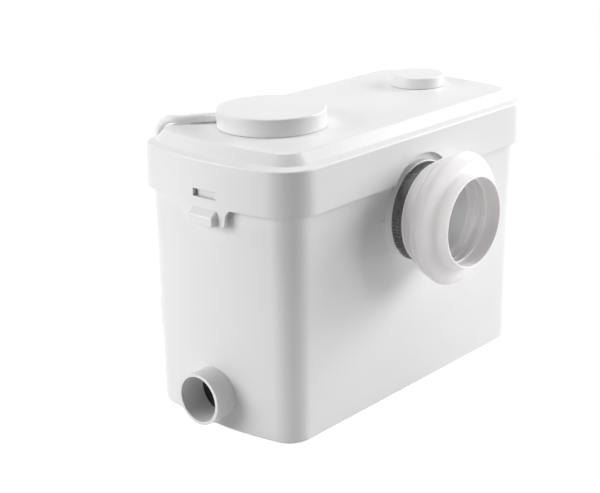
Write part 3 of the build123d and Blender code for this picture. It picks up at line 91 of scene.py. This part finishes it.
def place_camera():
    right = camera_forward.cross(Vector((0, 0, 1))).normalized()
    up = right.cross(camera_forward)
    across = right * cos(camera_roll) + up * sin(camera_roll)
    upward = up * cos(camera_roll) - right * sin(camera_roll)
    turn = Matrix((across, upward, -camera_forward)).transposed().to_4x4()
    data = bpy.data.cameras.new("camera")
    data.lens = camera_lens_mm
    data.sensor_width = sensor_width_mm
    data.clip_start = camera_near
    camera = bpy.data.objects.new("camera", data)
    camera.matrix_world = Matrix.Translation(camera_place) @ turn
    bpy.context.scene.collection.objects.link(camera)
    bpy.context.scene.camera = camera


# Cord

def coil_points():
    """The turns of the coil, wound inwards on the floor and out again on top of themselves."""
    steps = [(-coil_step, 0.0)] * coil_halves_in + [(0.0, coil_rise)] + [(coil_step, 0.0)] * coil_halves_out
    start = coil_start
    radius = coil_first_radius
    side = 1
    points = []
    for growth, rise in steps:
        chord = 2 * radius + (growth if rise == 0 else -coil_step)
        centre_y = start.y + side * chord / 2
        for i in range(coil_points_per_half):
            share = (i + 0.5) / coil_points_per_half
            angle = pi * share
            points.append((start.x + side * radius * sin(angle), centre_y - side * chord / 2 * cos(angle),
                           start.z + rise * share))
        start = Vector((start.x, start.y + side * chord, start.z + rise))
        radius += growth
        side = -side
    return points


def nurbs(name, points, thickness):
    curve = bpy.data.curves.new(name, "CURVE")
    curve.dimensions = "3D"
    curve.resolution_u = 12
    curve.bevel_depth = thickness / 2
    curve.bevel_resolution = 4
    curve.use_fill_caps = thickness > 0
    spline = curve.splines.new("NURBS")
    spline.points.add(len(points) - 1)
    for control, place in zip(spline.points, points):
        control.co = (*place, 1)
    spline.order_u = 3
    spline.use_endpoint_u = True
    return curve


def mesh_of(name, curve):
    """The curve's shape as a mesh."""
    carrier = bpy.data.objects.new(name, curve)
    bpy.context.scene.collection.objects.link(carrier)
    bpy.context.view_layer.update()
    mesh = bpy.data.meshes.new_from_object(carrier.evaluated_get(bpy.context.evaluated_depsgraph_get()))
    bpy.data.objects.remove(carrier)
    return mesh


def add(name, mesh, finish):
    mesh.materials.clear()
    mesh.materials.append(finish)
    mesh.shade_smooth()
    made = bpy.data.objects.new(name, mesh)
    bpy.context.scene.collection.objects.link(made)
    return made


def make_cord(finish):
    points = [cord_exit, cord_second] + cord_route + coil_points() + cord_tail
    line = mesh_of("cord_line", nurbs("cord_line", points, 0.0))
    cord = add("cord", mesh_of("cord", nurbs("cord", points, cord_diameter)), finish)
    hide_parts("cord_run", "cord_coil", "cord_tail")
    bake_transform(cord)


# Materials

class Finish:
    """A material being built: its nodes, and the surface they feed."""

    def __init__(self, name, colour, roughness, metallic=0.0, specular=0.5):
        self.material = bpy.data.materials.new(name)
        self.material.use_nodes = True
        self.tree = self.material.node_tree
        self.surface = self.tree.nodes["Principled BSDF"]
        self.colour = colour
        self.roughness = roughness
        self.set("Metallic", metallic)
        self.set("Specular IOR Level", specular)
        self.place = self.tree.nodes.new("ShaderNodeTexCoord").outputs["Object"]
        self.normal = None

    def set(self, socket, value):
        self.surface.inputs[socket].default_value = value

    def link(self, source, target):
        self.tree.links.new(source, target)

    def noise(self, scale, detail=3.0, stretch=(1, 1, 1)):
        mapping = self.tree.nodes.new("ShaderNodeMapping")
        mapping.inputs["Scale"].default_value = stretch
        node = self.tree.nodes.new("ShaderNodeTexNoise")
        node.inputs["Scale"].default_value = scale
        node.inputs["Detail"].default_value = detail
        self.link(self.place, mapping.inputs["Vector"])
        self.link(mapping.outputs["Vector"], node.inputs["Vector"])
        return node.outputs["Fac"]

    def bands(self, scale, direction="Z", distortion=0.0):
        node = self.tree.nodes.new("ShaderNodeTexWave")
        node.bands_direction = direction
        node.inputs["Scale"].default_value = scale
        node.inputs["Distortion"].default_value = distortion
        self.link(self.place, node.inputs["Vector"])
        return node.outputs["Fac"]

    def mottle(self, value, spread):
        """The colour varies by this share as the value goes from low to high."""
        ramp = self.tree.nodes.new("ShaderNodeValToRGB")
        dark, light = ramp.color_ramp.elements
        dark.position = noise_low
        light.position = noise_high
        dark.color = (*[c * (1 - spread) for c in self.colour], 1)
        light.color = (*[min(c * (1 + spread), palest) for c in self.colour], 1)
        self.link(value, ramp.inputs["Fac"])
        self.link(ramp.outputs["Color"], self.surface.inputs["Base Color"])

    def shine(self, value, spread):
        """The roughness varies by this much to each side of its own value."""
        span = self.tree.nodes.new("ShaderNodeMapRange")
        span.inputs["From Min"].default_value = noise_low
        span.inputs["From Max"].default_value = noise_high
        span.inputs["To Min"].default_value = self.roughness - spread
        span.inputs["To Max"].default_value = self.roughness + spread
        self.link(value, span.inputs["Value"])
        self.link(span.outputs["Result"], self.surface.inputs["Roughness"])

    def bump(self, value, depth, strength=1.0):
        node = self.tree.nodes.new("ShaderNodeBump")
        node.inputs["Strength"].default_value = strength
        node.inputs["Distance"].default_value = depth
        self.link(value, node.inputs["Height"])
        if self.normal:
            self.link(self.normal, node.inputs["Normal"])
        self.normal = node.outputs["Normal"]
        self.link(self.normal, self.surface.inputs["Normal"])


def moulded(name, colour, roughness, grain=1400.0, depth=0.00003, spread=0.02):
    """Injection-moulded plastic: fine spark-eroded grain, and slow waves where it cooled."""
    made = Finish(name, colour, roughness)
    slow = made.noise(9.0, detail=2.0)
    made.mottle(slow, spread)
    made.shine(made.noise(60.0), 0.05)
    made.bump(slow, 0.0003, 0.25)
    made.bump(made.noise(grain), depth, 0.6)
    return made.material


def rubber(name, colour, roughness, spread=0.05, depth=0.0):
    """Moulded rubber: matt, with a dusty bloom and a soft uneven skin. Light comes through a pale one."""
    made = Finish(name, colour, roughness, specular=0.35)
    if depth:
        made.set("Subsurface Weight", 1.0)
        made.set("Subsurface Radius", (1.0, 0.97, 0.94))
        made.set("Subsurface Scale", depth)
    made.mottle(made.noise(38.0, detail=5.0), spread)
    made.shine(made.noise(120.0), 0.06)
    made.bump(made.noise(700.0, detail=4.0), 0.00006, 0.5)
    return made.material


def brushed(name, colour, roughness, stretch, scale=900.0):
    """Metal with fine scratches drawn out along the axis that stretch leaves short."""
    made = Finish(name, colour, roughness, metallic=1.0)
    scratches = made.noise(scale, detail=4.0, stretch=stretch)
    made.mottle(made.noise(45.0, detail=4.0), 0.08)
    made.shine(scratches, 0.09)
    made.bump(scratches, 0.00003, 0.5)
    return made.material


def cast(name, colour, roughness):
    """Die-cast metal with a sandy skin."""
    made = Finish(name, colour, roughness, metallic=0.9)
    made.mottle(made.noise(80.0, detail=5.0), 0.1)
    made.shine(made.noise(160.0), 0.08)
    made.bump(made.noise(800.0, detail=5.0), 0.00012, 0.7)
    return made.material


def foam(name, colour):
    """Open carbon foam: coarse pores."""
    made = Finish(name, colour, 0.9, specular=0.2)
    pores = made.noise(520.0, detail=6.0)
    made.mottle(pores, 0.5)
    made.shine(pores, 0.05)
    made.bump(pores, 0.0009, 1.0)
    return made.material


def laminated(name, colour):
    """A stack of thin steel sheets."""
    made = Finish(name, colour, 0.42, metallic=0.8)
    sheets = made.bands(320.0)
    made.mottle(sheets, 0.3)
    made.shine(made.noise(90.0), 0.08)
    made.bump(sheets, 0.0002, 0.8)
    return made.material


def wound(name, colour):
    """Varnished copper wire laid side by side."""
    made = Finish(name, colour, 0.3, metallic=0.7)
    turns = made.bands(230.0, direction="X", distortion=1.2)
    made.mottle(turns, 0.35)
    made.shine(made.noise(120.0), 0.1)
    made.bump(turns, 0.0005, 0.9)
    return made.material


def make_finishes():
    return {
        "tank_plastic": moulded("tank_plastic", (0.80, 0.80, 0.80), 0.42),
        "lid_plastic": moulded("lid_plastic", (0.82, 0.82, 0.82), 0.34),
        "sleeve_rubber": rubber("sleeve_rubber", (0.89, 0.87, 0.875), 0.5, spread=0.02, depth=0.001),
        "dark_rubber": rubber("dark_rubber", (0.022, 0.022, 0.024), 0.6),
        "stainless": brushed("stainless", (0.2, 0.2, 0.2), 0.26, (0.05, 1.0, 1.0)),
        "carbon_foam": foam("carbon_foam", (0.03, 0.03, 0.032)),
        "inner_plastic": moulded("inner_plastic", (0.045, 0.046, 0.05), 0.45, spread=0.1),
        "basket_plastic": moulded("basket_plastic", (0.62, 0.63, 0.62), 0.4),
        "bearing_steel": brushed("bearing_steel", (0.6, 0.6, 0.61), 0.22, (1.0, 1.0, 8.0)),
        "cast_aluminium": cast("cast_aluminium", (0.55, 0.55, 0.56), 0.42),
        "lamination": laminated("lamination", (0.3, 0.3, 0.32)),
        "copper_wire": wound("copper_wire", (0.72, 0.3, 0.12)),
        "switch_plastic": moulded("switch_plastic", (0.03, 0.031, 0.034), 0.5, spread=0.1),
        "brass": brushed("brass", (0.75, 0.55, 0.24), 0.28, (1.0, 1.0, 6.0)),
        "capacitor_case": moulded("capacitor_case", (0.55, 0.55, 0.56), 0.35),
        "cord_sheath": rubber("cord_sheath", (0.82, 0.82, 0.81), 0.45, spread=0.03),
        "core_wire": rubber("core_wire", (0.1, 0.2, 0.5), 0.4),
        "plug_plastic": moulded("plug_plastic", (0.78, 0.78, 0.77), 0.38),
        "plated_pin": brushed("plated_pin", (0.72, 0.71, 0.68), 0.2, (1.0, 8.0, 1.0)),
    }


def dress(finishes):
    for part in frame["record"]["subparts"]:
        node = frame["nodes"][part["node"]]
        node.data.materials.clear()
        node.data.materials.append(finishes[part["material_slot"]])


# Floor and light

def light_path_mix(tree):
    """One where a camera, glossy or transmission ray looks, and nought for the rays that light the object."""
    paths = tree.nodes.new("ShaderNodeLightPath")
    total = paths.outputs["Is Camera Ray"]
    for name in ("Is Glossy Ray", "Is Transmission Ray"):
        larger = tree.nodes.new("ShaderNodeMath")
        larger.operation = "MAXIMUM"
        tree.links.new(total, larger.inputs[0])
        tree.links.new(paths.outputs[name], larger.inputs[1])
        total = larger.outputs[0]
    return total


def make_world(level):
    """A white background for the camera that lights the object only at this level."""
    world = bpy.data.worlds.new("studio")
    bpy.context.scene.world = world
    world.use_nodes = True
    tree = world.node_tree
    tree.nodes.clear()
    dim = tree.nodes.new("ShaderNodeBackground")
    dim.inputs["Strength"].default_value = level
    white = tree.nodes.new("ShaderNodeBackground")
    mix = tree.nodes.new("ShaderNodeMixShader")
    out = tree.nodes.new("ShaderNodeOutputWorld")
    for background in (dim, white):
        background.inputs["Color"].default_value = (1, 1, 1, 1)
    tree.links.new(light_path_mix(tree), mix.inputs["Fac"])
    tree.links.new(dim.outputs[0], mix.inputs[1])
    tree.links.new(white.outputs[0], mix.inputs[2])
    tree.links.new(mix.outputs[0], out.inputs["Surface"])


def make_floor(colour, lift):
    """A pale floor, lifted to white where it is lit, which keeps the object's shadow."""
    mesh = bpy.data.meshes.new("floor")
    corners = [(floor_reach * x, floor_reach * y, 0) for x, y in ((-1, -1), (1, -1), (1, 1), (-1, 1))]
    mesh.from_pydata(corners, [], [(0, 1, 2, 3)])
    made = bpy.data.materials.new("floor")
    made.use_nodes = True
    tree = made.node_tree
    surface = tree.nodes["Principled BSDF"]
    surface.inputs["Base Color"].default_value = (colour, colour, colour, 1)
    surface.inputs["Roughness"].default_value = 0.9
    surface.inputs["Specular IOR Level"].default_value = 0.1
    glow = tree.nodes.new("ShaderNodeEmission")
    strength = tree.nodes.new("ShaderNodeMath")
    strength.operation = "MULTIPLY"
    strength.inputs[1].default_value = lift
    both = tree.nodes.new("ShaderNodeAddShader")
    tree.links.new(light_path_mix(tree), strength.inputs[0])
    tree.links.new(strength.outputs[0], glow.inputs["Strength"])
    tree.links.new(surface.outputs[0], both.inputs[0])
    tree.links.new(glow.outputs[0], both.inputs[1])
    tree.links.new(both.outputs[0], tree.nodes["Material Output"].inputs["Surface"])
    mesh.materials.append(made)
    floor = bpy.data.objects.new("floor", mesh)
    floor.location.z = cad_box[0][2] - floor_drop
    bpy.context.scene.collection.objects.link(floor)


def hang(light, target, direction, distance):
    """The light goes this far from its target, in this direction, and looks back at it."""
    toward = Vector(direction).normalized()
    made = bpy.data.objects.new(light.name, light)
    made.location = Vector(target) + toward * distance
    made.rotation_euler = toward.to_track_quat("Z", "Y").to_euler()
    bpy.context.scene.collection.objects.link(made)


def lamp(name, direction, distance, power, size):
    """A square soft box that lights the whole object."""
    light = bpy.data.lights.new(name, "AREA")
    light.energy = power
    light.size = size
    hang(light, lamp_target, direction, distance)


def snoot(name, target, direction, distance, power, reach):
    """A narrow soft beam, as wide at its target as reach to each side."""
    light = bpy.data.lights.new(name, "SPOT")
    light.energy = power
    light.spot_size = 2 * atan2(reach, distance)
    light.spot_blend = 1.0
    light.shadow_soft_size = snoot_radius
    hang(light, target, direction, distance)


bpy.context.scene.view_settings.view_transform = "Standard"
place_camera()
finishes = make_finishes()
dress(finishes)
make_cord(finishes["cord_sheath"])
make_world(level=0.02)
make_floor(colour=0.8, lift=0.75)
lamp("left_lamp", (-0.87, 0.50, 0.30), 1.6, 17.0, 0.9)
lamp("right_lamp", (0.90, -0.43, 0.36), 2.6, 52.0, 1.4)
lamp("top_lamp", (0.05, 0.10, 1.0), 1.5, 13.0, 1.2)
lamp("front_lamp", (0.50, -0.85, 0.30), 1.6, 7.5, 0.7)
snoot("mouth_snoot", mouth_middle, (-0.80, -0.58, 0.30), 1.3, 28.0, 0.055)
